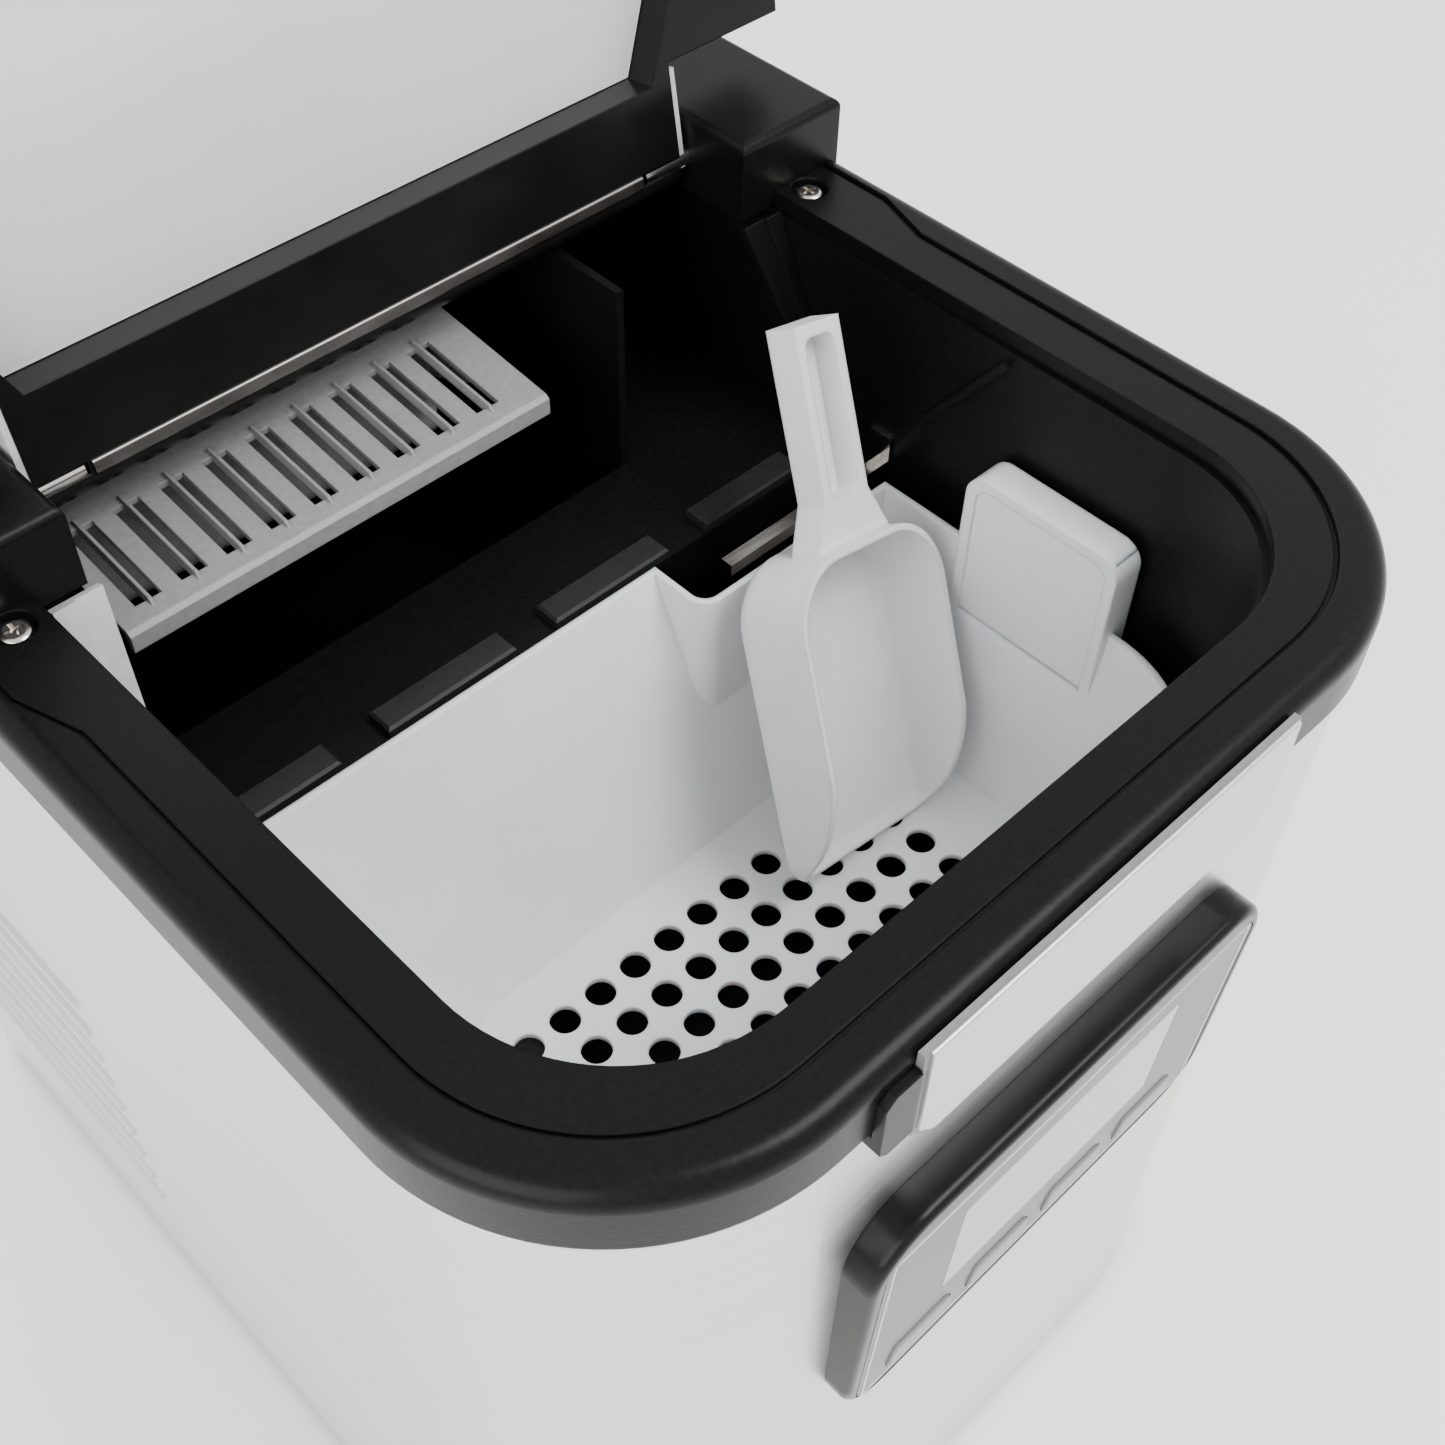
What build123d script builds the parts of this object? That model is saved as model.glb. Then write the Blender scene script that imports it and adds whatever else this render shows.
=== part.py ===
"""Countertop ice maker: steel-wrapped cabinet, open lid, lift-out basket, scoop and tipping ice tray.

Millimetres, +Z up.  The origin is on the floor, under the middle of the appliance.  The front faces -Y.
"""
import os
from math import cos, radians, sin

from build123d import *

os.makedirs("parts", exist_ok=True)

# ---------------------------------------------------------------- driving dimensions
BEZEL_HALF_W = 145.0
TOP = 342.0                      # height of the bezel's top face
FOOT_H = 5.0
SKIN = 1.2                       # steel sheet
WALL = 2.5                       # moulded plastic
CASE_HALF_W = 142.7
FRONT = -175.94                  # Y of the plane that distances behind the front start from
LIP_FRONT = -2.5                 # the bezel's front face
LIP_DROP = 19.0                  # height of the bezel's outer skirt
LIP_RADIUS = 64.0
PLATE = 6.0                      # thickness of the bezel's top
TUB_HALF_W = 117.5
TUB_FRONT = 22.5
TUB_RADIUS = 44.5
TUB_BACK = 176.0
TUB_FLOOR = 186.0
TUB_RIM = 6.0                    # the tub's rim is this far under the bezel's top
SHELF = 68.0                     # depth of the shelf behind the basket
BAY_LEFT = -112.0
BAY_RIGHT = 58.0
BAY_BACK = 348.0
SEAM = 214.0                     # where the bezel meets the rear cover
BLOCK_FRONT = 258.0              # front wall of the rear cover between its arms
ARM_INNER = 106.0                # inner face of the rear cover's arms
COVER_RISE = 18.0                # rear cover and closed lid stand this high above the bezel
HINGE_BACK = 239.0
HINGE_RISE = 4.5
LID_OPEN = 100.0                 # degrees from closed
PIN_R = 3.0
RUN_GAP = 0.05                   # radial clearance of a turning fit
SHAFT_BACK = 304.0
SHAFT_DEPTH = 26.0
SWEEP_R = 99.5                   # inner radius of the ice ramp, round the tray shaft


def behind(distance):
    """Y at a distance behind the front datum plane."""
    return FRONT + distance


def under(depth):
    """Z at a depth under the bezel's top face."""
    return TOP - depth


def plan(half_width, front, back, front_radius, rear_radius=0):
    """Cabinet outline seen from above, with rounded front corners."""
    with BuildSketch() as outline:
        with Locations((0, behind((front + back) / 2))):
            Rectangle(2 * half_width, back - front)
        fillet(outline.vertices().group_by(Axis.Y)[0], front_radius)
        if rear_radius:
            fillet(outline.vertices().group_by(Axis.Y)[-1], rear_radius)
    return outline.sketch


def block(x_range, y_range, z_range, mode=Mode.ADD):
    """Box between two depths behind the front and two heights over the bezel's top."""
    centre = (sum(x_range) / 2, behind(sum(y_range) / 2), TOP + sum(z_range) / 2)
    with Locations(centre):
        Box(x_range[1] - x_range[0], y_range[1] - y_range[0], z_range[1] - z_range[0], mode=mode)


def side_profile(points, x_range, mode=Mode.ADD):
    """Outline drawn in (behind, above) pairs, extruded across the cabinet."""
    with BuildSketch(Plane.YZ.offset(x_range[0])) as profile:
        Polygon(*[(behind(y), TOP + z) for y, z in points], align=None)
    extrude(profile.sketch, amount=x_range[1] - x_range[0], mode=mode)


def cross_rod(radius, x_range, y, z, mode=Mode.ADD):
    """Round bar lying across the cabinet."""
    with BuildSketch(Plane.YZ.offset(x_range[0])) as disc:
        with Locations((behind(y), TOP + z)):
            Circle(radius)
    extrude(disc.sketch, amount=x_range[1] - x_range[0], mode=mode)


def tube(label, points, radius, bend, bore=0.0):
    """Round tube through points given as (x, behind, height), with rounded bends."""
    with BuildPart() as pipe:
        with BuildLine() as run:
            FilletPolyline(*[(x, behind(y), z) for x, y, z in points], radius=bend)
        with BuildSketch(Plane(origin=run.line @ 0, z_dir=run.line % 0)):
            Circle(radius)
            if bore:
                Circle(bore, mode=Mode.SUBTRACT)
        sweep(path=run.line)
    save(pipe.part, label)


def save(part, label):
    """Name a finished piece and write it."""
    part.label = label
    export_step(part, f"parts/{label}.step")


# ---------------------------------------------------------------- base, feet and sheet-metal case
CASE_FRONT = -0.5
CASE_BACK = 358.0
CASE_RADIUS = 62.0
REAR_RADIUS = 8.0
BASE_THICK = 4.0
BASE_WALL_H = 14.0
FOOT_R = 12.0
FOOT_X = 105.0
FOOT_Y = (45.0, 325.0)
FOOT_CHAMFER = 1.5
FIT_GAP = 0.3                    # gap between pieces that aren't joined
VENT_SLOT = (16, 4)
VENT_PITCH = (22, 14)
VENT_GRID = (6, 4)
PUMP_X, PUMP_BACK = 104.0, 202.0
PUMP_Z = (100.0, 140.0)
STAND_HALF_W = 12.0

with BuildPart() as base_tray:
    inset = SKIN + FIT_GAP
    with BuildSketch(Plane.XY.offset(FOOT_H)):
        rear = CASE_BACK - 3.5
        add(plan(CASE_HALF_W - inset, CASE_FRONT + inset, rear, CASE_RADIUS - inset, REAR_RADIUS))
    extrude(amount=BASE_WALL_H)
    with BuildSketch(Plane.XY.offset(FOOT_H + BASE_THICK)):
        rim = inset + WALL
        add(plan(CASE_HALF_W - rim, CASE_FRONT + rim, CASE_BACK - 6, CASE_RADIUS - rim, REAR_RADIUS - WALL))
    extrude(amount=BASE_WALL_H, mode=Mode.SUBTRACT)
    with BuildSketch(Plane.XY.offset(FOOT_H)):
        with Locations((0, behind(110))):
            with GridLocations(*VENT_PITCH, *VENT_GRID):
                SlotOverall(*VENT_SLOT)
    extrude(amount=BASE_THICK, mode=Mode.SUBTRACT)
    stand_x = (PUMP_X - STAND_HALF_W, PUMP_X + STAND_HALF_W)
    stand_y = (PUMP_BACK - STAND_HALF_W, PUMP_BACK + STAND_HALF_W)
    block(stand_x, stand_y, (FOOT_H + BASE_THICK - TOP, PUMP_Z[0] - TOP))
save(base_tray.part, "base_tray")

with BuildPart() as rubber_feet:
    with BuildSketch(Plane.XY):
        with Locations([(x, behind(y)) for x in (-FOOT_X, FOOT_X) for y in FOOT_Y]):
            Circle(FOOT_R)
    extrude(amount=FOOT_H)
    chamfer(rubber_feet.edges().group_by(Axis.Z)[0], FOOT_CHAMFER)
save(rubber_feet.part, "rubber_feet")

LOUVRE_TOP = 163.0
LOUVRE_PITCH = 15.0
LOUVRE_COUNT = 9
LOUVRE_START = 229.0
LOUVRE_END = 340.0
LOUVRE_H = 4.0
LOUVRE_PROUD = 1.3
VENT_ROWS = 5                    # the lowest louvres are pierced
VENT_COLUMNS = (299.0, 317.0, 335.0)
VENT_SIZE = (4.5, 2.4)
VENT_REACH = 12.0                # depth of the cutter that pierces a louvre
LOUVRE_ROOT = 0.2                # how far a louvre is sunk in the sheet
LOUVRE_CHAMFER = 1.1
SKIRT_DEPTH = 8.0                # the steel ends this far under the bezel's top
DRAIN_R = 7.0
DRAIN_PLUG_BACK = 150.0
DRAIN_Z = 34.0
PANEL_HALF_W = 72.0
PANEL_TOP = 67.5
PANEL_BOTTOM = 161.0
APERTURE_INSET = 9.0
APERTURE_RADIUS = 6.0
panel_mid = under((PANEL_TOP + PANEL_BOTTOM) / 2)
panel_h = PANEL_BOTTOM - PANEL_TOP

with BuildPart() as case_wrap:
    with BuildSketch(Plane.XY.offset(FOOT_H)):
        add(plan(CASE_HALF_W, CASE_FRONT, CASE_BACK, CASE_RADIUS))
        inner = plan(CASE_HALF_W - SKIN, CASE_FRONT + SKIN, CASE_BACK + 1, CASE_RADIUS - SKIN)
        add(inner, mode=Mode.SUBTRACT)
    extrude(amount=under(SKIRT_DEPTH) - FOOT_H)
    louvre_len = LOUVRE_END - LOUVRE_START
    for side in (-1, 1):
        for row in range(LOUVRE_COUNT):
            height = under(LOUVRE_TOP + row * LOUVRE_PITCH)
            louvre_x = side * (CASE_HALF_W + (LOUVRE_PROUD - LOUVRE_ROOT) / 2)
            with Locations((louvre_x, behind((LOUVRE_START + LOUVRE_END) / 2), height)):
                Box(LOUVRE_PROUD + LOUVRE_ROOT, louvre_len, LOUVRE_H)
        proud = case_wrap.edges().filter_by(Axis.Y).group_by(Axis.X)[-1 if side > 0 else 0]
        chamfer(proud, LOUVRE_CHAMFER)
        for row in range(LOUVRE_COUNT - VENT_ROWS, LOUVRE_COUNT):
            height = under(LOUVRE_TOP + row * LOUVRE_PITCH) - LOUVRE_H / 2
            for column in VENT_COLUMNS:
                with Locations((side * CASE_HALF_W, behind(column), height)):
                    Box(VENT_REACH, *VENT_SIZE, mode=Mode.SUBTRACT)
    with BuildSketch(Plane.XZ.offset(-behind(CASE_FRONT + 10))):
        with Locations((0, panel_mid)):
            aperture = 2 * (PANEL_HALF_W - APERTURE_INSET), panel_h - 2 * APERTURE_INSET
            RectangleRounded(*aperture, APERTURE_RADIUS)
    extrude(amount=20, mode=Mode.SUBTRACT)
    cross_rod(DRAIN_R, (130, 150), DRAIN_PLUG_BACK, DRAIN_Z - TOP, Mode.SUBTRACT)
save(case_wrap.part, "case_wrap")

GRILLE_ROWS = 9
GRILLE_PITCH = 11.0
GRILLE_SLOT = (84.0, 5.0)
GRILLE_X = (-55.0, 65.0)
GRILLE_DEPTH = 225.0
BACK_HALF_W = 141.3
BACK_T = 1.6
GLAND_X, GLAND_Z = 112.0, 45.0
GLAND_R, GLAND_FLANGE_R, GLAND_BORE_R = 8.0, 11.0, 3.5

with BuildPart() as rear_panel:
    block((-BACK_HALF_W, BACK_HALF_W), (CASE_BACK, CASE_BACK + BACK_T), (FOOT_H - TOP, -SKIRT_DEPTH))
    with Locations(Plane.XZ.offset(-behind(CASE_BACK))):
        with Locations([(x, under(GRILLE_DEPTH)) for x in GRILLE_X]):
            with GridLocations(0, GRILLE_PITCH, 1, GRILLE_ROWS):
                Box(*GRILLE_SLOT, 10, mode=Mode.SUBTRACT)
    with BuildSketch(Plane.XZ.offset(-behind(CASE_BACK - 2))):
        with Locations((GLAND_X, GLAND_Z)):
            Circle(GLAND_R)
    extrude(amount=-6, mode=Mode.SUBTRACT)
save(rear_panel.part, "rear_panel")

with BuildPart() as cord_gland:
    with BuildSketch(Plane.XZ.offset(-behind(CASE_BACK - 3))):
        with Locations((GLAND_X, GLAND_Z)):
            Circle(GLAND_R)
            Circle(GLAND_BORE_R, mode=Mode.SUBTRACT)
    extrude(amount=-6.4)
    with BuildSketch(Plane.XZ.offset(-behind(CASE_BACK + BACK_T))):
        with Locations((GLAND_X, GLAND_Z)):
            Circle(GLAND_FLANGE_R)
            Circle(GLAND_BORE_R, mode=Mode.SUBTRACT)
    extrude(amount=-1.8)
save(cord_gland.part, "cord_gland")

# ---------------------------------------------------------------- bezel and rear cover
SCREW_X = 127.2
SCREW_BACK = 208.2
SCREW_HEAD_R = 4.2
LAND_STEP = 0.7                  # the inner land lies lower than the outer rim
GROOVE = 1.3
GROOVE_DEPTH = 1.7
LIP_ROUND = 5.5
LAND_HALF_W = 133.6
LAND_FRONT = 9.0
LAND_RADIUS = 54.0
LAND_FLARE = 172.0               # behind here the land widens to take in the screws
WIDE_HALF_W = 139.5
MOUTH_HALF_W, MOUTH_FRONT, MOUTH_RADIUS = 119.0, 21.0, 46.0
SHANK_R = 1.5
HEAD_H = 2.2
HEAD_ROUND = 1.6
HEAD_SINK = 3.6
RECESS = (4.6, 1.0)              # arms of the cross recess
screw_spots = [(side * SCREW_X, behind(SCREW_BACK)) for side in (-1, 1)]

with BuildPart() as top_bezel:
    with BuildSketch(Plane.XY.offset(under(LIP_DROP))):
        add(plan(BEZEL_HALF_W, LIP_FRONT, SEAM, LIP_RADIUS))
    extrude(amount=LIP_DROP)
    rounded = top_bezel.edges().group_by(Axis.Z)[-1].sort_by(Axis.Y)[:-1]
    fillet(rounded, LIP_ROUND)
    with BuildSketch(Plane.XY.offset(under(LIP_DROP))):
        add(plan(CASE_HALF_W, CASE_FRONT, SEAM + 1, CASE_RADIUS))
    extrude(amount=LIP_DROP - PLATE, mode=Mode.SUBTRACT)
    with BuildSketch(Plane.XY.offset(under(LIP_DROP))):
        add(plan(MOUTH_HALF_W, MOUTH_FRONT, SEAM + 1, MOUTH_RADIUS))
    extrude(amount=LIP_DROP, mode=Mode.SUBTRACT)
    with BuildSketch(Plane.XY.offset(TOP)):
        add(plan(LAND_HALF_W, LAND_FRONT, SEAM + 1, LAND_RADIUS))
        for side in (-1, 1):
            flare = [(133, LAND_FLARE), (WIDE_HALF_W, 190), (WIDE_HALF_W, SEAM + 1), (133, SEAM + 1)]
            Polygon(*[(side * x, behind(y)) for x, y in flare], align=None)
    extrude(amount=-LAND_STEP, mode=Mode.SUBTRACT)
    with BuildSketch(Plane.XY.offset(TOP)):
        add(plan(LAND_HALF_W, LAND_FRONT, LAND_FLARE, LAND_RADIUS))
        inner_line = LAND_HALF_W - GROOVE, LAND_FRONT + GROOVE, LAND_FLARE + 1, LAND_RADIUS - GROOVE
        add(plan(*inner_line), mode=Mode.SUBTRACT)
        for side in (-1, 1):
            outer = [(LAND_HALF_W, 171), (WIDE_HALF_W, 189.6), (WIDE_HALF_W, SEAM + 1)]
            swerve = outer + [(x - GROOVE, y) for x, y in reversed(outer)]
            Polygon(*[(side * x, behind(y)) for x, y in swerve], align=None)
    extrude(amount=-GROOVE_DEPTH, mode=Mode.SUBTRACT)
    with Locations([(x, y, TOP) for x, y in screw_spots]):
        CounterBoreHole(SHANK_R + 0.4, SCREW_HEAD_R + 1.2, HEAD_SINK, 30)
save(top_bezel.part, "top_bezel")

with BuildPart() as bezel_screws:
    head_z = TOP - HEAD_SINK
    with BuildSketch(Plane.XY.offset(head_z)):
        with Locations(screw_spots):
            Circle(SCREW_HEAD_R)
    extrude(amount=HEAD_H)
    fillet(bezel_screws.edges().group_by(Axis.Z)[-1], HEAD_ROUND)
    with BuildSketch(Plane.XY.offset(head_z)):
        with Locations(screw_spots):
            Circle(SHANK_R)
    extrude(amount=-9)
    with BuildSketch(Plane.XY.offset(head_z + 1)):
        with Locations(screw_spots):
            Rectangle(*RECESS)
            Rectangle(*reversed(RECESS))
    extrude(amount=2, mode=Mode.SUBTRACT)
save(bezel_screws.part, "bezel_screws")

COVER_BACK = 362.0
COVER_SIDE_WALL = BEZEL_HALF_W - CASE_HALF_W
COVER_BACK_WALL = COVER_BACK - CASE_BACK - 1.7
COVER_ROOF = 3.0
COVER_ROUND = 2.5
COVER_CORNERS = (0.5, 5)         # front and rear corner radii seen from above

with BuildPart() as rear_cover:
    with BuildSketch(Plane.XY.offset(under(LIP_DROP))):
        add(plan(BEZEL_HALF_W, SEAM, COVER_BACK, *COVER_CORNERS))
    extrude(amount=LIP_DROP + COVER_RISE)
    block((-ARM_INNER, ARM_INNER), (SEAM - 1, BLOCK_FRONT), (-LIP_DROP, COVER_RISE), Mode.SUBTRACT)
    fillet(rear_cover.faces().sort_by(Axis.Z)[-1].edges(), COVER_ROUND)
    inner_half = BEZEL_HALF_W - COVER_SIDE_WALL
    inner_back = COVER_BACK - COVER_BACK_WALL
    ceiling = COVER_RISE - COVER_ROOF
    block((-inner_half, inner_half), (BLOCK_FRONT + WALL, inner_back), (-LIP_DROP, ceiling), Mode.SUBTRACT)
    block((-inner_half, inner_half), (SEAM - 1, inner_back), (-LIP_DROP, -TUB_RIM + 0.5), Mode.SUBTRACT)
    for side in (-1, 1):
        arm = sorted((side * (ARM_INNER + WALL), side * inner_half))
        block(arm, (SEAM + WALL, BLOCK_FRONT + WALL + 1), (-LIP_DROP, ceiling), Mode.SUBTRACT)
    cross_rod(PIN_R, (-ARM_INNER - 10, ARM_INNER + 10), HINGE_BACK, HINGE_RISE, Mode.SUBTRACT)
save(rear_cover.part, "rear_cover")

TONGUE_HALF_W = 103.0
TONGUE_BACK = 246.7
TONGUE_ROUND = 5.0
PIN_REACH = (90.0, 115.0)
PIN_HEAD_R = 5.5
PIN_HEAD_END = 111.0

with BuildPart() as hinge_pins:
    for side in (-1, 1):
        cross_rod(PIN_R, sorted(side * x for x in PIN_REACH), HINGE_BACK, HINGE_RISE)
        head = sorted((side * (ARM_INNER + WALL), side * PIN_HEAD_END))
        cross_rod(PIN_HEAD_R, head, HINGE_BACK, HINGE_RISE)
save(hinge_pins.part, "hinge_pins")

# ---------------------------------------------------------------- lid, drawn closed and turned open
LID_UNDER = 1.75
SHOULDER = 210.0
LID_ROUND = 3.0
WINDOW_T = 3.0
WINDOW_LEDGE = 5.0
WINDOW_RADIUS = 40.0
STRIP_HALF_W, STRIP_T = 88.0, 0.9
STRIP_Y = (237.2, 241.2)
BUMPER_X, BUMPER_BACK, BUMPER_R = 96.0, 10.0, 4.0
CAP_T = 1.8
hinge_axis = Axis((0, behind(HINGE_BACK), TOP + HINGE_RISE), (1, 0, 0))


def window_outline(grow=0.0):
    """Outline of the lid's window, narrowing between the hinges."""
    corners = [(97, 214.7), (118, 168), (118, 24), (-118, 24), (-118, 168), (-97, 214.7)]
    with BuildSketch() as outline:
        Polygon(*[(x, behind(y)) for x, y in corners], align=None)
        fillet(outline.vertices().group_by(Axis.Y)[0], WINDOW_RADIUS)
        if grow:
            offset(amount=grow, kind=Kind.INTERSECTION)
    return outline.sketch


with BuildPart() as lid_frame:
    with BuildSketch(Plane.XY.offset(TOP + LID_UNDER)):
        add(plan(BEZEL_HALF_W, LIP_FRONT, SHOULDER, LIP_RADIUS))
        with Locations((0, behind((SHOULDER + TONGUE_BACK) / 2))):
            Rectangle(2 * TONGUE_HALF_W, TONGUE_BACK - SHOULDER)
    extrude(amount=COVER_RISE - LID_UNDER)
    fillet(lid_frame.faces().sort_by(Axis.Z)[-1].edges(), LID_ROUND)
    fillet(lid_frame.edges().filter_by(Axis.X).group_by(Axis.Z)[0].sort_by(Axis.Y)[-1], TONGUE_ROUND)
    with BuildSketch(Plane.XY.offset(TOP)):
        add(window_outline())
    extrude(amount=COVER_RISE + 1, mode=Mode.SUBTRACT)
    with BuildSketch(Plane.XY.offset(TOP + COVER_RISE - WINDOW_T)):
        add(window_outline(WINDOW_LEDGE))
    extrude(amount=4, mode=Mode.SUBTRACT)
    block((-30, 30), (-4, 6), (0, 7), Mode.SUBTRACT)
    for side in (-1, 1):
        ends = sorted((side * (PIN_REACH[0] - 1), side * (TONGUE_HALF_W + 1)))
        cross_rod(PIN_R + RUN_GAP, ends, HINGE_BACK, HINGE_RISE, Mode.SUBTRACT)
save(lid_frame.part.rotate(hinge_axis, -LID_OPEN), "lid_frame")

with BuildPart() as lid_window:
    with BuildSketch(Plane.XY.offset(TOP + COVER_RISE - WINDOW_T)):
        add(window_outline(WINDOW_LEDGE - FIT_GAP))
    extrude(amount=2.8)
    with BuildSketch(Plane.XY.offset(TOP + COVER_RISE - WINDOW_T)):
        add(window_outline(-FIT_GAP))
    extrude(amount=-2.5)
save(lid_window.part.rotate(hinge_axis, -LID_OPEN), "lid_window")

with BuildPart() as lid_strip:
    block((-STRIP_HALF_W, STRIP_HALF_W), STRIP_Y, (LID_UNDER - STRIP_T, LID_UNDER))
    fillet(lid_strip.edges().group_by(Axis.Z)[0].filter_by(Axis.X), STRIP_T - 0.1)
save(lid_strip.part.rotate(hinge_axis, -LID_OPEN), "lid_strip")

with BuildPart() as lid_bumpers:
    with BuildSketch(Plane.XY.offset(TOP + LID_UNDER)):
        with Locations((-BUMPER_X, behind(BUMPER_BACK)), (BUMPER_X, behind(BUMPER_BACK))):
            Circle(BUMPER_R)
    extrude(amount=-LID_UNDER + 0.2)
save(lid_bumpers.part.rotate(hinge_axis, -LID_OPEN), "lid_bumpers")

with BuildPart() as lid_hinge_caps:
    for side in (-1, 1):
        cap = sorted((side * TONGUE_HALF_W, side * (TONGUE_HALF_W + CAP_T)))
        side_profile([(241, 2), (212, 2), (212, 12), (226, 16), (241, 12)], cap)
        cross_rod(PIN_R + RUN_GAP, cap, HINGE_BACK, HINGE_RISE, Mode.SUBTRACT)
save(lid_hinge_caps.part.rotate(hinge_axis, -LID_OPEN), "lid_hinge_caps")

# ---------------------------------------------------------------- inner tub with shelf and ice ramp
PADS = ((-114.0, -72.0), (-57.0, -14.0), (0.0, 42.0), (57.0, 95.0))
OUTER_HALF_W = TUB_HALF_W + WALL
DRAIN_X, DRAIN_BACK = 90.0, 60.0
SUCTION_X, SUCTION_BACK = 104.0, 160.0
FLANGE_T = 2.0
FLANGE = (136.0, 12.0, 256.0, 54.0)
TUB_REAR_RADIUS = 12.0
REST_X, REST_Y = (-62, 84), (52, 122)
REST_HALF = (8, 6)               # half sizes of the blocks the basket stands on
REST_DEPTH = 147.0
RIB_INWARD = 3.0                 # the rib on the right wall stands this far in
PAD_W, PAD_H = 9.0, 3.5
DRAIN_BORE_R = 4.5
HOSE_R, HOSE_BORE = 4.0, 2.5

with BuildPart() as inner_tub:
    with BuildSketch(Plane.XY.offset(under(TUB_FLOOR + WALL))):
        add(plan(OUTER_HALF_W, TUB_FRONT - WALL, TUB_BACK + WALL, TUB_RADIUS + WALL))
    extrude(amount=TUB_FLOOR + WALL - TUB_RIM)
    block((-OUTER_HALF_W, OUTER_HALF_W), (TUB_BACK, BAY_BACK + WALL), (-SHELF - WALL, -TUB_RIM))
    cross_rod(SWEEP_R + WALL, (BAY_LEFT - WALL, BAY_RIGHT + WALL), SHAFT_BACK, -SHAFT_DEPTH)
    block((-BEZEL_HALF_W, BEZEL_HALF_W), (150, BAY_BACK + WALL), (-TUB_RIM, 100), Mode.SUBTRACT)
    block((-BEZEL_HALF_W, BEZEL_HALF_W), (BAY_BACK + WALL, 500), (-200, 100), Mode.SUBTRACT)
    with BuildSketch(Plane.XY.offset(under(TUB_RIM + FLANGE_T))):
        add(plan(*FLANGE))
    extrude(amount=FLANGE_T)
    with BuildSketch(Plane.XY.offset(under(TUB_FLOOR))):
        add(plan(TUB_HALF_W, TUB_FRONT, TUB_BACK, TUB_RADIUS, TUB_REAR_RADIUS))
    extrude(amount=TUB_FLOOR + 1, mode=Mode.SUBTRACT)
    block((-TUB_HALF_W, TUB_HALF_W), (TUB_BACK - 14, SEAM), (-SHELF, 1), Mode.SUBTRACT)
    block((BAY_LEFT, BAY_RIGHT), (SEAM - 1, BAY_BACK), (-SHELF, 1), Mode.SUBTRACT)
    block((BAY_RIGHT + WALL, TUB_HALF_W), (SEAM - 1, BAY_BACK), (-SHELF, 1), Mode.SUBTRACT)
    with BuildSketch(Plane.YZ.offset(BAY_LEFT)):
        with Locations((behind(SHAFT_BACK), under(SHAFT_DEPTH))):
            Circle(SWEEP_R)
        with Locations((behind(TUB_BACK), TOP)):
            Rectangle(2 * (SEAM - TUB_BACK), 500, mode=Mode.SUBTRACT)
        with Locations((behind(BAY_BACK) + 50, TOP)):
            Rectangle(100, 500, mode=Mode.SUBTRACT)
    extrude(amount=BAY_RIGHT - BAY_LEFT, mode=Mode.SUBTRACT)
    half_x, half_y = REST_HALF
    for x in REST_X:
        for y in REST_Y:
            block((x - half_x, x + half_x), (y - half_y, y + half_y), (-TUB_FLOOR, -REST_DEPTH))
    rib_line = [(150, -43), (148, -44), (123, -10), (125, -9)]
    side_profile(rib_line, (TUB_HALF_W - RIB_INWARD, TUB_HALF_W + 0.5))
    for x_range in ((BAY_LEFT - WALL - 1, BAY_LEFT + 1), (BAY_RIGHT - 1, BAY_RIGHT + WALL + 1)):
        cross_rod(PIN_R + RUN_GAP, x_range, SHAFT_BACK, -SHAFT_DEPTH, Mode.SUBTRACT)
    with Locations([(x, y, under(TUB_RIM)) for x, y in screw_spots]):
        Hole(SHANK_R, 4)
    with Locations((DRAIN_X, behind(DRAIN_BACK), under(TUB_FLOOR))):
        Hole(4, 10)
    with Locations((SUCTION_X, behind(SUCTION_BACK), under(TUB_FLOOR))):
        Hole(HOSE_BORE, 10)
save(inner_tub.part, "inner_tub")

with BuildPart() as shelf_pads:
    for pad in PADS:
        block(pad, (TUB_BACK, TUB_BACK + PAD_W), (-SHELF, -SHELF + PAD_H))
    chamfer(shelf_pads.edges().group_by(Axis.Z)[-1], 0.8)
save(shelf_pads.part, "shelf_pads")

with BuildPart() as corner_guides:
    slope = Plane(origin=(0, behind(210.8), under(5)), x_dir=(1, 0, 0), z_dir=(0, -35, 18))
    with BuildSketch(slope):
        Polygon((104, 0), (TUB_HALF_W, 0), (TUB_HALF_W, -62), (113, -62), align=None)
    extrude(amount=-3)
    with BuildSketch(slope):
        Polygon((111.5, 0), (TUB_HALF_W, 0), (TUB_HALF_W, -60), (116, -60), align=None)
    extrude(amount=1.2)
save(corner_guides.part, "right_ice_guide")
save(mirror(corner_guides.part, about=Plane.YZ), "left_ice_guide")

with BuildPart() as sensor_bracket:
    block((51, TUB_HALF_W), (160, 164), (-67.2, -66))
    block((51, TUB_HALF_W), (160, 160 + SKIN), (-70, -66))
    block((TUB_HALF_W - SKIN, TUB_HALF_W), (160, 168), (-67.2, -58))
save(sensor_bracket.part, "sensor_bracket")

# ---------------------------------------------------------------- lift-out ice basket
BASKET_WALL = 2.0
BASKET_FLOOR = 145.0
BASKET_RIM = 66.0
STEP_X = 33.0
STEP_BACK = 152.5
STEP_DEPTH = 110.0
HOLE_D = 9.0
HOLE_PITCH = 13.2
HOLE_GRID = (11, 6)
HOLE_MIDDLE = (2, 86.5)
EAR_BACK = 96.0                  # middle of the ear on the right wall
EAR_IN, EAR_OUT = 104.0, 115.0
EAR_SIZE, EAR_RADIUS = (52, 62), 7
RECESS_SIZE, RECESS_RADIUS = (45, 65), 5


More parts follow.
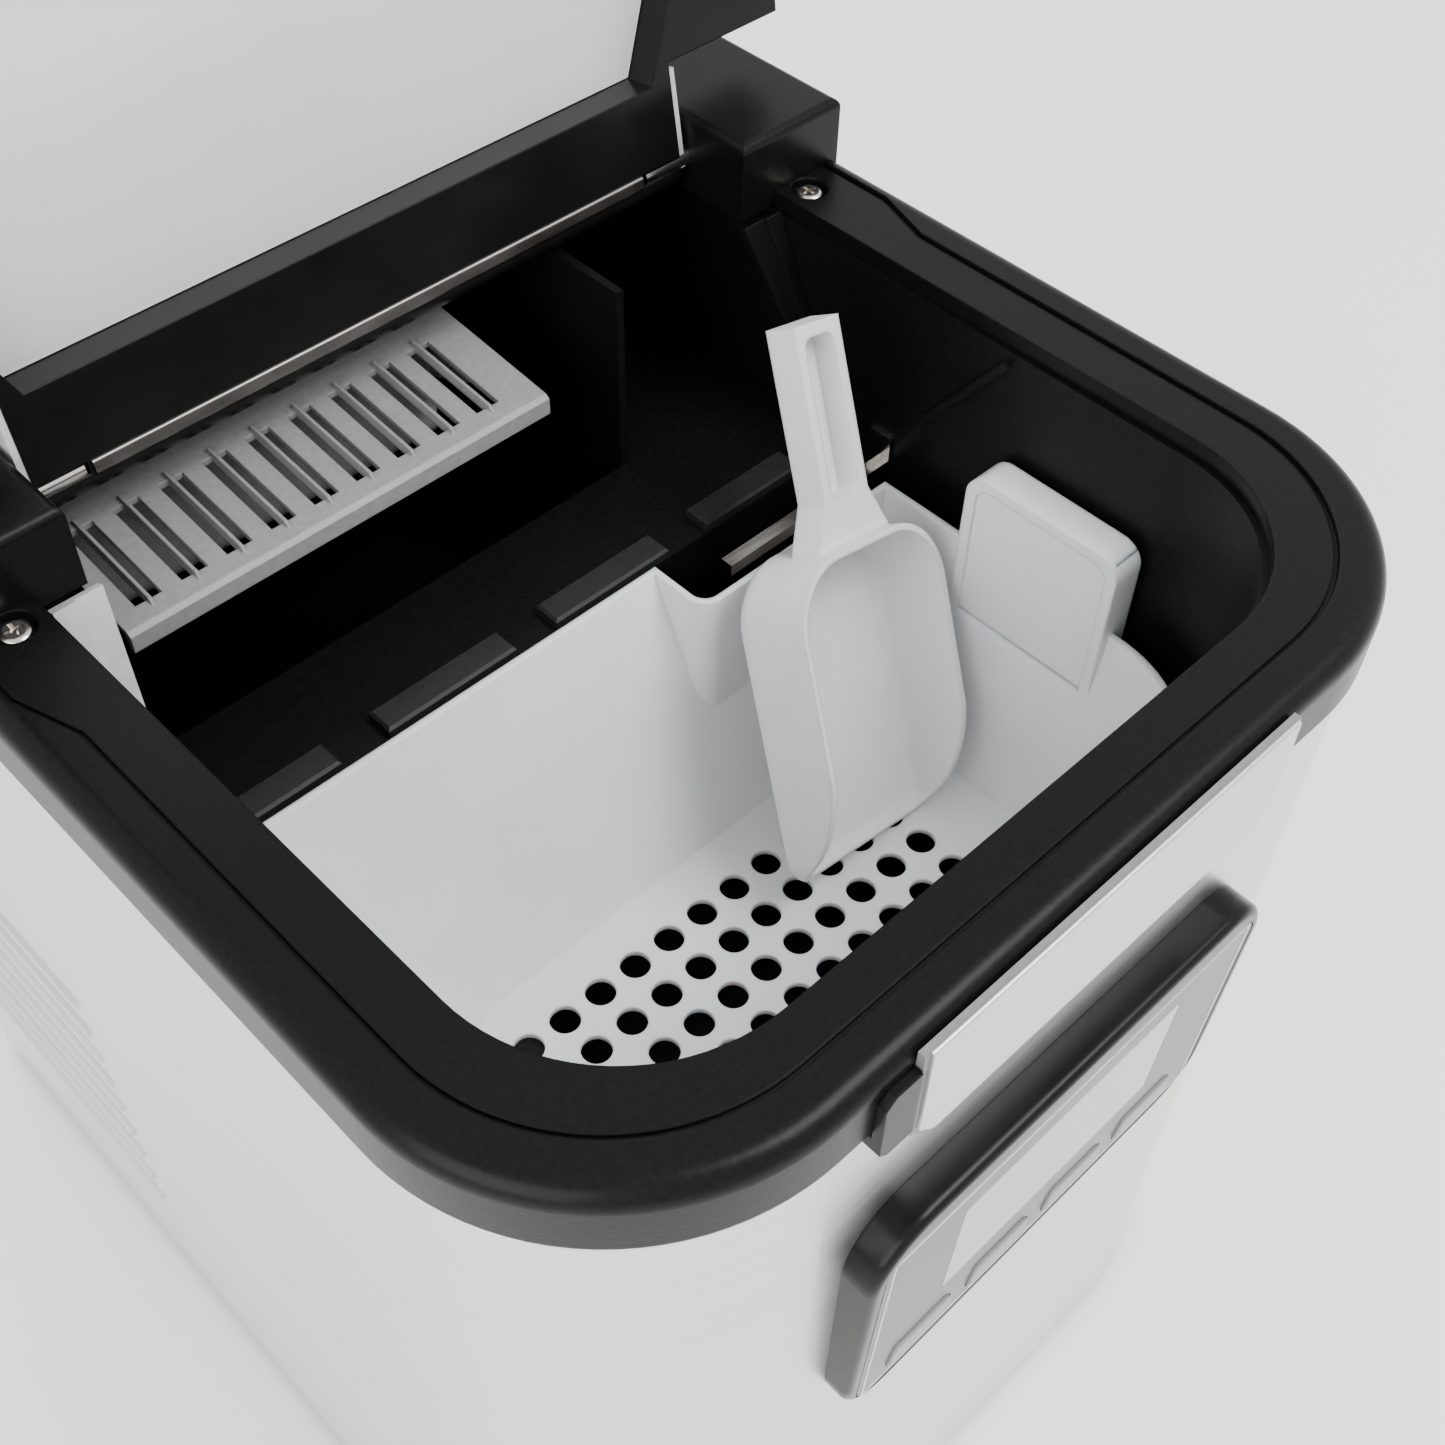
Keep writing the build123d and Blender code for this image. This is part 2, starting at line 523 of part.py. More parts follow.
def basket_section(depth, grow=0.0):
    """Basket outline at a depth: every wall leans outwards going up."""
    lift = (BASKET_FLOOR - depth) / (BASKET_FLOOR - BASKET_RIM)
    left = -70.7 - 38.3 * lift - grow
    right = 95.8 + 11.2 * lift + grow
    front = 40 - 14 * lift - grow
    back = 136.6 + 35.9 * lift + grow
    with BuildSketch(Plane.XY.offset(under(depth))) as section:
        with Locations(((left + right) / 2, behind((front + back) / 2))):
            Rectangle(right - left, back - front)
        fillet(section.vertices().group_by(Axis.Y)[0], 24 + 18 * lift + grow)
        fillet(section.vertices().group_by(Axis.Y)[-1], 8 + grow)
    return section.sketch


def step_block(shift):
    """Room left for the sensor bracket behind the basket's right half."""
    with BuildSketch(Plane.XY.offset(under(STEP_DEPTH + shift))) as corner:
        with Locations((STEP_X - shift + 60, behind(STEP_BACK - shift) + 30)):
            Rectangle(120, 60)
        fillet(corner.vertices().sort_by(Axis.X)[0:2].sort_by(Axis.Y)[0], 7 + shift)
    return corner.sketch


with BuildPart() as basket_outside:
    add(basket_section(BASKET_FLOOR + BASKET_WALL, BASKET_WALL))
    add(basket_section(BASKET_RIM, BASKET_WALL))
    loft()
    add(step_block(-BASKET_WALL))
    extrude(amount=100, mode=Mode.SUBTRACT)

with BuildPart() as basket_inside:
    add(basket_section(BASKET_FLOOR))
    add(basket_section(BASKET_RIM - 1))
    loft()
    add(step_block(0))
    extrude(amount=100, mode=Mode.SUBTRACT)

with BuildPart() as ice_basket:
    add(basket_outside.part)
    add(basket_inside.part, mode=Mode.SUBTRACT)
    with Locations((HOLE_MIDDLE[0], behind(HOLE_MIDDLE[1]), under(BASKET_FLOOR))):
        with GridLocations(HOLE_PITCH, HOLE_PITCH, *HOLE_GRID):
            Hole(HOLE_D / 2, 5)
    with BuildSketch(Plane.YZ.offset(EAR_IN)):
        with Locations((behind(EAR_BACK), under(69))):
            RectangleRounded(*EAR_SIZE, EAR_RADIUS)
    extrude(amount=EAR_OUT - EAR_IN)
    block((106, 116), (72, 120), (-105, -40), Mode.SUBTRACT)
    block((103.9, 106), (70, 122), (-112, -54))
    with BuildSketch(Plane.YZ.offset(103.9)):
        with Locations((behind(EAR_BACK), under(74))):
            RectangleRounded(*RECESS_SIZE, RECESS_RADIUS)
    extrude(amount=0.7, mode=Mode.SUBTRACT)
save(ice_basket.part, "ice_basket")

# ---------------------------------------------------------------- scoop, leaning in the basket
SCOOP_L = 155.4
BOWL_L = 95.8
BOWL_HALF_W = 32.2
BOWL_DEPTH = 25.8
SCOOP_WALL = 2.0
BOWL_CORNERS = (9.0, 20.0)       # front and rear corner radii
BOWL_TAPER = 1.0                 # the walls lean in by this much
BOWL_ROUND = 5.0
GRIP_HALF_W = 9.5
GRIP_T = 9.7
GRIP_START = 108.0
GRIP_RIM = 3.5
scoop_seat = Plane(
    origin=(52.7, behind(81.2), under(123.6)),
    x_dir=(0.9646, 0.048, -0.2592),
    z_dir=(0.1714, -0.8612, 0.4784),
)


def bowl_outline(inset=0.0):
    """Scoop bowl seen from its open side."""
    with BuildSketch() as outline:
        with Locations((0, BOWL_L / 2)):
            Rectangle(2 * (BOWL_HALF_W - inset), BOWL_L - 2 * inset)
        fillet(outline.vertices().group_by(Axis.Y)[0], BOWL_CORNERS[0] - inset)
        fillet(outline.vertices().group_by(Axis.Y)[-1], BOWL_CORNERS[1] - inset)
    return outline.sketch


with BuildPart() as bowl_inside:
    with BuildSketch(Plane.XY.offset(-BOWL_DEPTH + SCOOP_WALL)):
        add(bowl_outline(BOWL_TAPER + SCOOP_WALL))
    with BuildSketch(Plane.XY):
        add(bowl_outline(SCOOP_WALL))
    loft()
    fillet(bowl_inside.edges().group_by(Axis.Z)[0], BOWL_ROUND - 1)

with BuildPart() as ice_scoop:
    with BuildSketch(Plane.XY.offset(-BOWL_DEPTH)):
        add(bowl_outline(BOWL_TAPER))
    with BuildSketch(Plane.XY):
        add(bowl_outline())
    loft()
    fillet(ice_scoop.edges().group_by(Axis.Z)[0], BOWL_ROUND)
    add(bowl_inside.part, mode=Mode.SUBTRACT)
    with BuildSketch(Plane.XY.offset(-SCOOP_WALL - 2)):
        with BuildLine():
            right = [(GRIP_HALF_W, SCOOP_L), (GRIP_HALF_W, GRIP_START), (17, 93)]
            left = [(-x, y) for x, y in reversed(right)]
            Polyline(*right, *left, close=True)
        make_face()
    extrude(amount=-GRIP_T)
    with BuildSketch(Plane.XY.offset(-SCOOP_WALL - 2)):
        with Locations((0, (SCOOP_L + GRIP_START) / 2 - 2)):
            RectangleRounded(2 * (GRIP_HALF_W - GRIP_RIM), SCOOP_L - GRIP_START - GRIP_RIM, 3)
    extrude(amount=-GRIP_T + 2.5, mode=Mode.SUBTRACT)
    add(bowl_inside.part, mode=Mode.SUBTRACT)
    with BuildSketch(Plane.YZ.offset(-60)):
        with BuildLine():
            Spline((-3, -BOWL_DEPTH - 1), (3, -20), (11, -11), (23, -3.5), (38, 0.2))
            Polyline((38, 0.2), (38, 10), (-3, 10), (-3, -BOWL_DEPTH - 1))
        make_face()
    extrude(amount=120, mode=Mode.SUBTRACT)
seated = scoop_seat.location * ice_scoop.part
floor_gap = seated.bounding_box().min.Z - under(BASKET_FLOOR)
save(Pos(0, 0, 0.5 - floor_gap) * seated, "ice_scoop")

# ---------------------------------------------------------------- tipping tray: trough, shovel and shaft
TROUGH = (-101.0, 25.0)
TROUGH_TOP = -26.0
TROUGH_FLOOR = -66.0
ARM_LEFT = (TROUGH[0] - 2, TROUGH[0])
ARM_RIGHT = (TROUGH[1], TROUGH[1] + 2)
SLOT_PITCH = 13.1
FIRST_SLOT = -97.0
SLOT_W = 3.3
SLOT_RIB = 0.9
SLOT_COUNT = 9
SLOT_Y = (214.0, 244.0)
SHOVEL_EDGE = 207.0
BOSS_R = 7.0

with BuildPart() as water_trough:
    block(TROUGH, (258, 302), (TROUGH_FLOOR, TROUGH_TOP))
    bottom = water_trough.edges().group_by(Axis.Z)[0].filter_by(Axis.X)
    fillet(bottom, 8)
    block((TROUGH[0] + 2, TROUGH[1] - 2), (260, 300), (TROUGH_FLOOR + 2, TROUGH_TOP), Mode.SUBTRACT)
    cross_rod(PIN_R, TROUGH, SHAFT_BACK, -SHAFT_DEPTH, Mode.SUBTRACT)
save(water_trough.part, "water_trough")

with BuildPart() as ice_shovel:
    outside = [(SHOVEL_EDGE, -26), (SHOVEL_EDGE, -21), (208.5, -20), (257, -15.5)]
    plate = outside + [(257, -17.5), (210, -21.8), (208.8, -26)]
    side_profile(plate, (ARM_LEFT[0], ARM_RIGHT[1]))
    for side in (ARM_LEFT, ARM_RIGHT):
        arm = [(214, -21.5), (258, -16.5), (304, -19), (309, -26), (304, -33), (262, -44), (240, -34)]
        side_profile(arm, side)
        cross_rod(BOSS_R, side, SHAFT_BACK, -SHAFT_DEPTH)
        cross_rod(PIN_R, side, SHAFT_BACK, -SHAFT_DEPTH, Mode.SUBTRACT)
    for index in range(SLOT_COUNT):
        left = FIRST_SLOT + SLOT_PITCH * index
        for shift in (0, SLOT_W + SLOT_RIB):
            block((left + shift, left + shift + SLOT_W), SLOT_Y, (-30, 0), Mode.SUBTRACT)
        rib = (left + SLOT_W, left + SLOT_W + SLOT_RIB)
        side_profile([(211, -20.6), (246, -17.4), (246, -15.3), (213, -18.2)], rib)
save(ice_shovel.part, "ice_shovel")

with BuildPart() as tray_shaft:
    cross_rod(PIN_R, (BAY_LEFT - WALL, 71), SHAFT_BACK, -SHAFT_DEPTH)
save(tray_shaft.part, "tray_shaft")

with BuildPart() as gear_motor:
    block((62, 112), (272, 334), (-SHELF, -14))
    fillet(gear_motor.edges().filter_by(Axis.X), 5)
    cross_rod(12, (BAY_RIGHT + WALL, 62), SHAFT_BACK, -SHAFT_DEPTH - 6)
    cross_rod(16, (112, 117), 296, -42)
    cross_rod(PIN_R + RUN_GAP, (BAY_RIGHT, 72), SHAFT_BACK, -SHAFT_DEPTH, Mode.SUBTRACT)
save(gear_motor.part, "gear_motor")

# ---------------------------------------------------------------- evaporator
FINGER_R = 4.0
FINGER_L = 36.0
FINGER_TIP = 2.5
FINGER_PITCH = 25.0
FINGER_ROWS = ((-90.0, 274.0, 5), (-77.5, 294.0, 4))   # first x, distance behind, count
BLOCK_Y = (268, 300)
BLOCK_UNDER = 14.0
BLOCK_OVER = 3.0
with BuildPart() as evaporator_block:
    block((-94, 14), BLOCK_Y, (-BLOCK_UNDER, BLOCK_OVER))
    fillet(evaporator_block.edges().filter_by(Axis.Z), 4)
save(evaporator_block.part, "evaporator_block")

with BuildPart() as evaporator_fingers:
    with BuildSketch(Plane.XY.offset(under(BLOCK_UNDER))):
        for first, y, count in FINGER_ROWS:
            with Locations([(first + FINGER_PITCH * k, behind(y)) for k in range(count)]):
                Circle(FINGER_R)
    extrude(amount=-FINGER_L)
    fillet(evaporator_fingers.edges().group_by(Axis.Z)[0], FINGER_TIP)
save(evaporator_fingers.part, "evaporator_fingers")

with BuildPart() as evaporator_bracket:
    block((-117, 61), BLOCK_Y, (BLOCK_OVER, BLOCK_OVER + 1.5))
    for x_range in ((-117, -115), (58.2, 60.2)):
        for y_range in ((268, 274), (294, 300)):
            block(x_range, y_range, (-TUB_RIM, BLOCK_OVER))
save(evaporator_bracket.part, "evaporator_bracket")

# ---------------------------------------------------------------- compressor, condenser and fan
COMP_X, COMP_BACK, COMP_R = 70.0, 270.0, 44.0
COMP_LOW, COMP_HIGH = 18.0, 150.0
DECK_Z = FOOT_H + BASE_THICK
COMP_PLATE = 96.0
COMP_PLATE_T = 3.0
STUD_PITCH = 80.0
STUD_R = 4.0
GROMMET_R = 7.0

with BuildPart() as compressor:
    with BuildSketch(Plane.XY.offset(COMP_LOW)):
        with Locations((COMP_X, behind(COMP_BACK))):
            Circle(COMP_R)
    extrude(amount=COMP_HIGH - COMP_LOW)
    fillet(compressor.edges().group_by(Axis.Z)[-1], 20)
    fillet(compressor.edges().group_by(Axis.Z)[0], 8)
    with BuildSketch(Plane.XY.offset(COMP_LOW)):
        with Locations((COMP_X, behind(COMP_BACK))):
            RectangleRounded(COMP_PLATE, COMP_PLATE, 10)
            with GridLocations(STUD_PITCH, STUD_PITCH, 2, 2):
                Circle(STUD_R, mode=Mode.SUBTRACT)
    extrude(amount=COMP_PLATE_T)
save(compressor.part, "compressor")

with BuildPart() as compressor_grommets:
    with BuildSketch(Plane.XY.offset(DECK_Z)):
        with Locations((COMP_X, behind(COMP_BACK))):
            with GridLocations(STUD_PITCH, STUD_PITCH, 2, 2):
                Circle(GROMMET_R)
    extrude(amount=COMP_LOW - DECK_Z)
    with BuildSketch(Plane.XY.offset(COMP_LOW)):
        with Locations((COMP_X, behind(COMP_BACK))):
            with GridLocations(STUD_PITCH, STUD_PITCH, 2, 2):
                Circle(STUD_R)
    extrude(amount=4)
save(compressor_grommets.part, "compressor_grommets")

COIL_X = (-138.0, -118.0)
COIL_LOW, COIL_HIGH = 50.0, 185.0
FAN_BACK, FAN_Z = 285.0, 117.0
FAN_R = 44.0
FIN_COUNT, FIN_PITCH, FIN_T = 21, 5, 0.8
FIN_START = 236
PLATE_STARTS, END_PLATE_T = (233, 339), 1.5
COIL_ROWS, COIL_PITCH, COIL_R = 6, 22, 4.0
SHROUD_X = (-118.0, -98.0)
SHROUD_HALF = 51.0
SHROUD_HALF_H = 53.0
ARM_X = (-98.0, -95.0)
MOTOR_R = 17.0
AXLE_R = 2.5
HUB_R = 13.0
BLADE_COUNT = 5

with BuildPart() as condenser:
    for index in range(FIN_COUNT):
        y = FIN_START + FIN_PITCH * index
        block(COIL_X, (y, y + FIN_T), (COIL_LOW - TOP, COIL_HIGH - TOP))
    for y in PLATE_STARTS:
        block(COIL_X, (y, y + END_PLATE_T), (COIL_LOW - TOP, COIL_HIGH + 3 - TOP))
    with BuildSketch(Plane.XZ.offset(-behind(228))):
        with Locations((sum(COIL_X) / 2, (COIL_LOW + COIL_HIGH) / 2)):
            with GridLocations(0, COIL_PITCH, 1, COIL_ROWS):
                Circle(COIL_R)
    extrude(amount=-118)
save(condenser.part, "condenser")

with BuildPart() as fan_shroud:
    shroud_y = (FAN_BACK - SHROUD_HALF, FAN_BACK + SHROUD_HALF)
    block(SHROUD_X, shroud_y, (FAN_Z - SHROUD_HALF_H - TOP, FAN_Z + SHROUD_HALF_H - TOP))
    cross_rod(FAN_R + 3, SHROUD_X, FAN_BACK, FAN_Z - TOP, Mode.SUBTRACT)
    block(ARM_X, shroud_y, (FAN_Z - 5 - TOP, FAN_Z + 5 - TOP))
    cross_rod(MOTOR_R + 2, ARM_X, FAN_BACK, FAN_Z - TOP)
    cross_rod(6, ARM_X, FAN_BACK, FAN_Z - TOP, Mode.SUBTRACT)
    for y in (FAN_BACK - 45, FAN_BACK + 35):
        block((-116, -100), (y, y + 10), (DECK_Z - TOP, FAN_Z - SHROUD_HALF_H - TOP))
save(fan_shroud.part, "fan_shroud")

with BuildPart() as fan_motor:
    cross_rod(MOTOR_R, (-95, -66), FAN_BACK, FAN_Z - TOP)
    fillet(fan_motor.edges().group_by(Axis.X)[-1], 3)
    cross_rod(AXLE_R, (-112, -95), FAN_BACK, FAN_Z - TOP)
save(fan_motor.part, "fan_motor")

with BuildPart() as fan_rotor:
    cross_rod(HUB_R, (-114, -101), FAN_BACK, FAN_Z - TOP)
    fillet(fan_rotor.edges().group_by(Axis.X)[0], 3)
    hub_centre = Plane(origin=(-107.5, behind(FAN_BACK), FAN_Z), x_dir=(0, 1, 0), z_dir=(1, 0, 0))
    with Locations(hub_centre):
        with PolarLocations(0, BLADE_COUNT):
            with Locations(Location((0, 26, 0), (0, 35, 0))):
                Box(17, 32, 1.6)
    cross_rod(AXLE_R + RUN_GAP, (-112.1, -95), FAN_BACK, FAN_Z - TOP, Mode.SUBTRACT)
save(fan_rotor.part, "fan_rotor")

DRIER_X, DRIER_BACK = -30.0, 322.0
DRIER_R = 9.0
DRIER_LOW, DRIER_HIGH = 84.0, 146.0
with BuildPart() as filter_drier:
    with BuildSketch(Plane.XY.offset(DRIER_LOW)):
        with Locations((DRIER_X, behind(DRIER_BACK))):
            Circle(DRIER_R)
    extrude(amount=DRIER_HIGH - DRIER_LOW)
    for end in (0, -1):
        chamfer(filter_drier.edges().group_by(Axis.Z)[end], 6)
save(filter_drier.part, "filter_drier")

GAS_R = 3.0
LIQUID_R = 2.5
CAPILLARY_R = 1.5
COIL_MID = sum(COIL_X) / 2
CROSSOVER_Z = 200.0
REAR_RUN = 354.0                 # distance behind of the tubes that climb the back
CAPILLARY_TOP = TOP - 3
SUCTION_TOP = TOP - 2
discharge_run = [
    (60, 250, COMP_HIGH),
    (60, 250, CROSSOVER_Z),
    (COIL_MID, 250, CROSSOVER_Z),
    (COIL_MID, 250, COIL_HIGH),
]
condenser_run = [
    (COIL_MID, 326, COIL_HIGH),
    (COIL_MID, 326, CROSSOVER_Z),
    (DRIER_X, DRIER_BACK, CROSSOVER_Z),
    (DRIER_X, DRIER_BACK, DRIER_HIGH),
]
capillary_run = [
    (DRIER_X, DRIER_BACK, DRIER_LOW),
    (DRIER_X, DRIER_BACK, 66),
    (DRIER_X, REAR_RUN, 66),
    (DRIER_X, REAR_RUN, CAPILLARY_TOP),
    (DRIER_X, BLOCK_Y[1], CAPILLARY_TOP),
]
suction_run = [
    (0, BLOCK_Y[1], SUCTION_TOP),
    (0, REAR_RUN, SUCTION_TOP),
    (0, REAR_RUN, 175),
    (75, REAR_RUN, 175),
    (75, 288, 175),
    (75, 288, COMP_HIGH),
]
tube("discharge_tube", discharge_run, GAS_R, 8)
tube("condenser_tube", condenser_run, LIQUID_R, 8)
tube("capillary_tube", capillary_run, CAPILLARY_R, 4)
tube("suction_tube", suction_run, GAS_R, 4)

# ---------------------------------------------------------------- water pump, hoses and drain
PUMP_HALF_W = 18.0
PUMP_CORNER = 9.0
PUMP_CAP_R, PUMP_CAP_H = 13.0, 5.0
with BuildPart() as water_pump:
    with BuildSketch(Plane.XY.offset(PUMP_Z[0])):
        with Locations((PUMP_X, behind(PUMP_BACK))):
            RectangleRounded(2 * PUMP_HALF_W, 2 * PUMP_HALF_W, PUMP_CORNER)
    extrude(amount=PUMP_Z[1] - PUMP_Z[0])
    with BuildSketch(Plane.XY.offset(PUMP_Z[1])):
        with Locations((PUMP_X, behind(PUMP_BACK))):
            Circle(PUMP_CAP_R)
    extrude(amount=PUMP_CAP_H)
save(water_pump.part, "water_pump")

HOSE_Z = sum(PUMP_Z) / 2
RISER_X = 131.0
HOSE_TOP = TOP - 0.5
intake_run = [
    (SUCTION_X, SUCTION_BACK, under(TUB_FLOOR + WALL)),
    (SUCTION_X, SUCTION_BACK, HOSE_Z),
    (SUCTION_X, PUMP_BACK - PUMP_HALF_W, HOSE_Z),
]
delivery_run = [
    (PUMP_X + PUMP_HALF_W, PUMP_BACK, HOSE_Z),
    (RISER_X, PUMP_BACK, HOSE_Z),
    (RISER_X, PUMP_BACK, 160),
    (RISER_X, 282, 160),
    (RISER_X, 282, HOSE_TOP),
    (19, 282, HOSE_TOP),
    (19, 282, TOP - 14),
]
tube("suction_hose", intake_run, HOSE_R, 8, HOSE_BORE)
tube("delivery_hose", delivery_run, HOSE_R - 0.8, 4.2, HOSE_BORE - 0.8)

with BuildPart() as drain_pipe:
    with BuildLine() as run:
        FilletPolyline(
            (DRAIN_X, behind(DRAIN_BACK), under(TUB_FLOOR + WALL)),
            (DRAIN_X, behind(DRAIN_BACK), DRAIN_Z),
            (DRAIN_X, behind(DRAIN_PLUG_BACK), DRAIN_Z),
            (CASE_HALF_W + 1.2, behind(DRAIN_PLUG_BACK), DRAIN_Z),
            radius=12,
        )
    with BuildSketch(Plane(origin=run.line @ 0, z_dir=run.line % 0)):
        Circle(DRAIN_R)
        Circle(DRAIN_BORE_R, mode=Mode.SUBTRACT)
    sweep(path=run.line)
save(drain_pipe.part, "drain_pipe")

with BuildPart() as drain_plug:
    cross_rod(DRAIN_BORE_R - RUN_GAP, (128, CASE_HALF_W + 1.2), DRAIN_PLUG_BACK, DRAIN_Z - TOP)
    cross_rod(9, (CASE_HALF_W + 1.2, BEZEL_HALF_W), DRAIN_PLUG_BACK, DRAIN_Z - TOP)
    with BuildSketch(Plane.YZ.offset(BEZEL_HALF_W)):
        with Locations((behind(DRAIN_PLUG_BACK), DRAIN_Z)):
            SlotOverall(12, 3)
    extrude(amount=-1, mode=Mode.SUBTRACT)
save(drain_plug.part, "drain_plug")

# ---------------------------------------------------------------- control panel
FACE_TILT = 1.8
PANEL_R = 18.0
GLASS_HALF_W = 67.4
GLASS_T = 1.4
WELL_HALF_W = 59.0               # room behind the glass
BOARD_SET = 14.0                 # circuit board behind the panel's face
LCD_HALF_W = 40.0
LCD_TOP, LCD_BOTTOM = 19.5, 62.0
BUTTON_X = (-45.0, -15.0, 15.0, 45.0)
BUTTON_Y = -78.5
BUTTON_TRAVEL = 0.9
GLASS_SEAT = 1.5                 # depth of the glass's seat in the frame
BOARD_T = 1.6
FRAME_DEPTH = 13.0
FRAME_ROUND = 2.5
BUTTON_T = 6.7
BUTTON_BACK = 6.0                # rear face of a key behind the panel's face
MODULE_BACK = 7.0
PEG_R = 2.5
face = Plane(
    origin=(0, behind(-10.2), under(PANEL_TOP)),
    x_dir=(1, 0, 0),
    z_dir=(0, -cos(radians(FACE_TILT)), -sin(radians(FACE_TILT))),
)


def face_rect(width, top, bottom, radius):
    """Rounded rectangle on the panel face between two distances under its top edge."""
    with BuildSketch() as outline:
        with Locations((0, -(top + bottom) / 2)):
            RectangleRounded(width, bottom - top, radius)
    return outline.sketch


def button_outline(grow=0.0):
    """One key: a trapezoid, wider at the bottom, with rounded corners."""
    with BuildSketch() as outline:
        Polygon((-10 - grow, 4.6 + grow), (10 + grow, 4.6 + grow), (12.5 + grow, -4.6 - grow),
                (-12.5 - grow, -4.6 - grow), align=None)
        fillet(outline.vertices(), 2)
    return outline.sketch


with BuildPart() as panel_frame:
    with BuildSketch(face):
        with Locations((0, -panel_h / 2)):
            Rectangle(2 * PANEL_HALF_W, panel_h)
        fillet(vertices().group_by(Axis.Z)[-1], PANEL_R)
    extrude(amount=-FRAME_DEPTH)
    fillet(panel_frame.faces().sort_by(Axis.Y)[0].edges(), FRAME_ROUND)
    block((-90, 90), (CASE_FRONT, CASE_FRONT + 30), (-200, -40), Mode.SUBTRACT)
    with BuildSketch(face.offset(-GLASS_SEAT)):
        add(face_rect(2 * GLASS_HALF_W + 1, 7.5, panel_h - 4, 8))
    extrude(amount=3, mode=Mode.SUBTRACT)
    with BuildSketch(face.offset(-GLASS_SEAT)):
        add(face_rect(2 * WELL_HALF_W, 12, panel_h - 8, 4))
    extrude(amount=-15, mode=Mode.SUBTRACT)
    with BuildSketch(face.offset(-BOARD_SET)):
        with Locations((-60.8, -22), (60.8, -22), (-60.8, -76), (60.8, -76)):
            Rectangle(3.4, 8)
    extrude(amount=BOARD_SET - 3)
save(panel_frame.part, "panel_frame")

with BuildPart() as display_glass:
    with BuildSketch(face.offset(-GLASS_SEAT)):
        add(face_rect(2 * GLASS_HALF_W, 8, panel_h - 4.5, 7.5))
        add(face_rect(2 * LCD_HALF_W + 0.6, LCD_TOP - 0.3, LCD_BOTTOM + 0.3, 1.3), mode=Mode.SUBTRACT)
    extrude(amount=GLASS_T)
    with BuildSketch(face.offset(-3)):
        with Locations([(x, BUTTON_Y) for x in BUTTON_X]):
            add(button_outline(0.35))
    extrude(amount=6, mode=Mode.SUBTRACT)
save(display_glass.part, "display_glass")

with BuildPart() as lcd_screen:
    with BuildSketch(face.offset(-GLASS_SEAT)):
        add(face_rect(2 * LCD_HALF_W, LCD_TOP, LCD_BOTTOM, 1))
    extrude(amount=GLASS_T)
save(lcd_screen.part, "lcd_screen")

with BuildPart() as lcd_module:
    with BuildSketch(face.offset(-MODULE_BACK)):
        add(face_rect(2 * LCD_HALF_W + 8, LCD_TOP - 4, LCD_BOTTOM + 4, 1))
    extrude(amount=MODULE_BACK - GLASS_SEAT)
    with BuildSketch(face.offset(-BOARD_SET)):
        with Locations([(x, -y) for x in (-38, 38) for y in (LCD_TOP + 2, LCD_BOTTOM - 2)]):
            Circle(PEG_R)
    extrude(amount=BOARD_SET - MODULE_BACK)
save(lcd_module.part, "lcd_module")

with BuildPart() as control_board:
    with BuildSketch(face.offset(-BOARD_SET - BOARD_T)):
        add(face_rect(124.6, 13, 88, 1))
    extrude(amount=BOARD_T)
    with BuildSketch(face.offset(-BOARD_SET)):
        with Locations([(x, BUTTON_Y) for x in BUTTON_X]):
            Circle(3)
    extrude(amount=BOARD_SET - BUTTON_BACK - BUTTON_TRAVEL - 0.2)
save(control_board.part, "control_board")

for place, x in zip(("left", "mid_left", "mid_right", "right"), BUTTON_X):
    with BuildPart() as button:
        with BuildSketch(face.offset(-BUTTON_BACK)):
            with Locations((x, BUTTON_Y)):
                add(button_outline())
        extrude(amount=BUTTON_T)
        chamfer(button.faces().sort_by(Axis.Y)[0].edges(), 0.4)
    save(button.part, f"button_{place}")

# ---------------------------------------------------------------- front trim
TRIM_HALF_W = 60.0
TRIM_FACE = -4.4
TRIM_CHAMFER = 5.0
TRIM_EDGE = 1.5
TAB_X = (-72, -62)
with BuildPart() as trim_rim:
    rim_x = (-TRIM_HALF_W - TRIM_EDGE, TRIM_HALF_W + TRIM_EDGE)
    block(rim_x, (TRIM_FACE, CASE_FRONT), (-36.5, -LIP_DROP))
    block(rim_x, (TRIM_FACE, LIP_FRONT), (-LIP_DROP, -TRIM_EDGE))
    low = trim_rim.edges().filter_by(Axis.Y).group_by(Axis.Z)[0]
    chamfer(low, TRIM_CHAMFER)
save(trim_rim.part, "trim_rim")

with BuildPart() as trim_plate:
    block((-TRIM_HALF_W, TRIM_HALF_W), (TRIM_FACE - 1, TRIM_FACE), (-35, -1))
    chamfer(trim_plate.edges().filter_by(Axis.Y).group_by(Axis.Z)[0], TRIM_CHAMFER)
    fillet(trim_plate.edges().filter_by(Axis.X).group_by(Axis.Z)[-1].sort_by(Axis.Y)[0], 0.8)
save(trim_plate.part, "trim_plate")

with BuildPart() as trim_tab:
    block(TAB_X, (TRIM_FACE - 0.6, CASE_FRONT), (-28, -LIP_DROP))
    block(TAB_X, (TRIM_FACE - 0.6, LIP_FRONT), (-LIP_DROP, -6))
    chamfer(trim_tab.edges().filter_by(Axis.Y).group_by(Axis.X)[0], 2.5)
save(trim_tab.part, "trim_tab")
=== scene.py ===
from math import asin, cos, radians, sin

import bmesh
import bpy
from mathutils import Matrix, Vector


